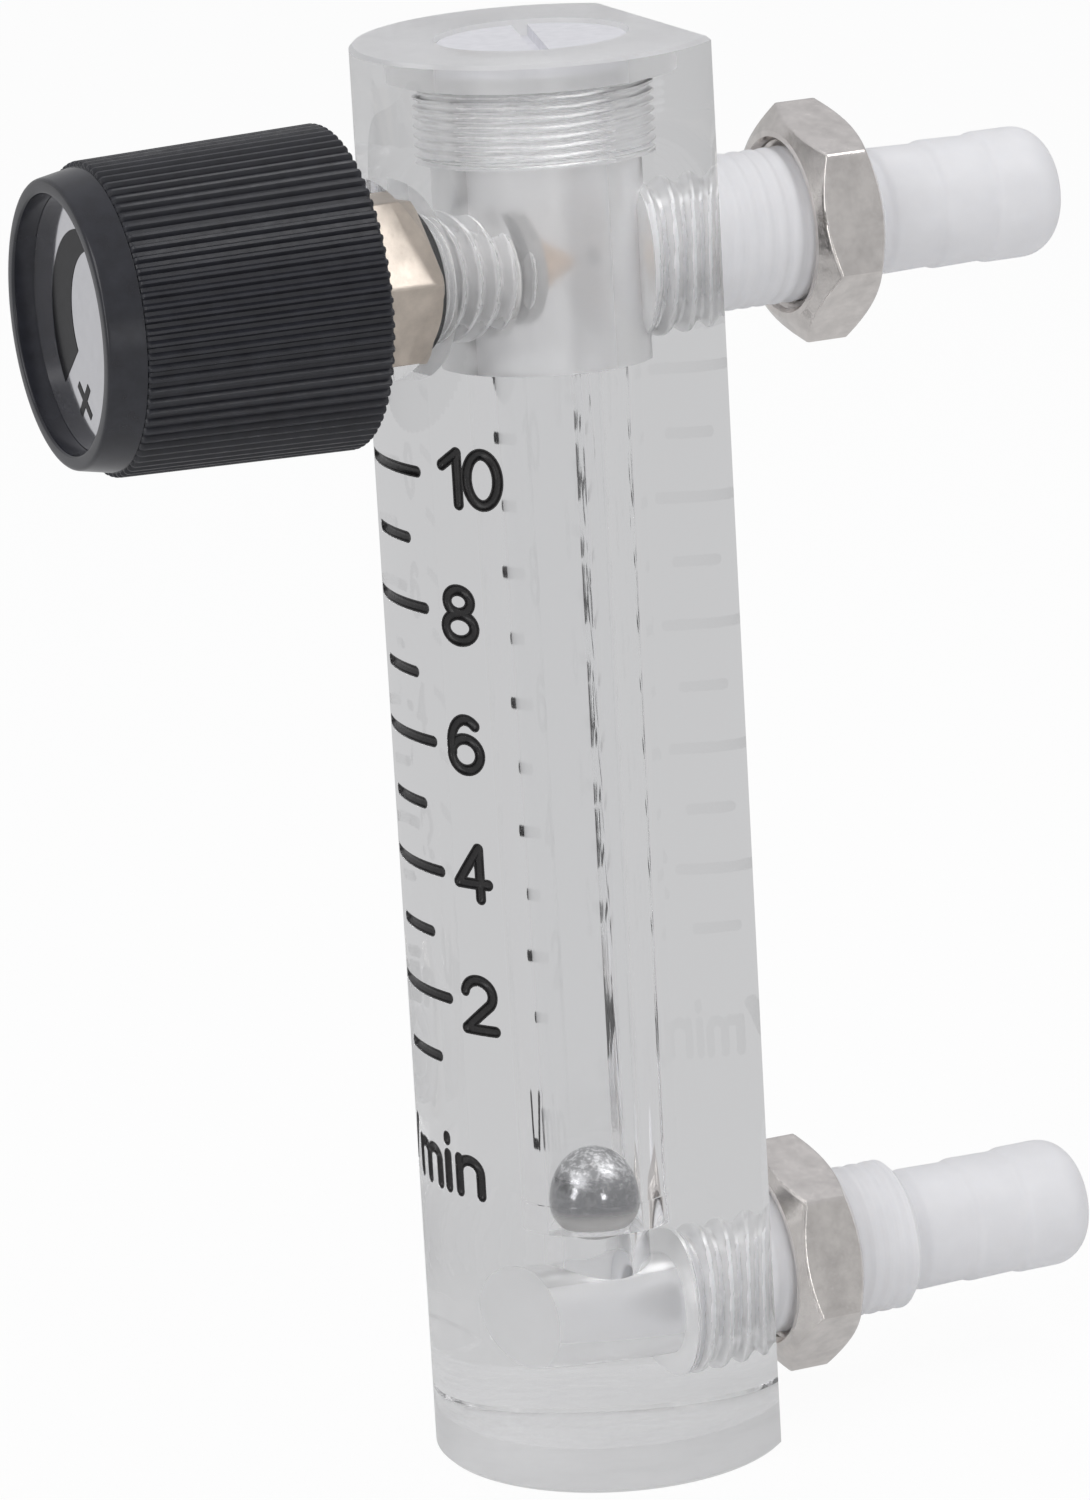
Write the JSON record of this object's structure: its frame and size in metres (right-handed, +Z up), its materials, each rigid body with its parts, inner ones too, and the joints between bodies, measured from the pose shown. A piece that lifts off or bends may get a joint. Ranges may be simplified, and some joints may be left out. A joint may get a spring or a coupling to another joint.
{
  "type": "oxygen flowmeter",
  "caption": "Clear acrylic panel flowmeter with a ball float in a tapered bore, a fluted needle valve knob and two hose tails with back nuts.",
  "frame": {"origin": "on the axis of the round front of the body, in its bottom face", "axes": "+Z up the metering bore, +Y out of the flat back along the hose tails, knob towards -Y, scale facing -Y"},
  "size_m": [0.028, 0.0808, 0.1105],
  "materials": {
    "acrylic": "polished clear acrylic",
    "plug": "clear acrylic with a white top face",
    "ink": "black engraving paint",
    "clear_rubber": "translucent silicone",
    "black_rubber": "satin black rubber",
    "ball_steel": "polished steel",
    "white_plastic": "moulded white plastic",
    "seat_plastic": "turned white plastic",
    "nickel": "nickel plate",
    "brass": "turned brass",
    "screw_steel": "plated steel",
    "knob_plastic": "satin black plastic",
    "dial": "glossy pale dial"
  },
  "bodies": {
    "meter": {"meter_body": "acrylic", "bottom_plate": "acrylic", "scale_marks": "ink", "top_plug": "plug", "plug_seal": "clear_rubber", "outlet_fitting": "white_plastic", "inlet_fitting": "white_plastic", "outlet_nut": "nickel", "inlet_nut": "nickel", "needle_seat": "seat_plastic", "valve_bonnet": "nickel", "bonnet_seal": "black_rubber"},
    "float": {"float_ball": "ball_steel"},
    "slider": {"stem_seal": "black_rubber"},
    "spindle": {"valve_stem": "brass", "knob": "knob_plastic", "knob_insert": "brass", "knob_screw": "screw_steel", "knob_dial": "dial"}
  },
  "joints": [
    {"name": "float_travel", "type": "slide", "parent": "meter", "child": "float", "axis": [0, 0, 1], "range_m": [0, 0.0645]},
    {"name": "valve_travel", "type": "slide", "parent": "meter", "child": "slider", "axis": [0, -1, 0], "range_m": [-0.00301, 0.00076]},
    {"name": "knob_turn", "type": "hinge", "parent": "slider", "child": "spindle", "pos_m": [0, -0.02, 0.0936], "axis": [0, -1, 0], "range_deg": [-1440, 360]}
  ],
  "couplings": [
    {"joint": "valve_travel", "follows": "knob_turn", "m_per_rad": 0.00011937}
  ]
}
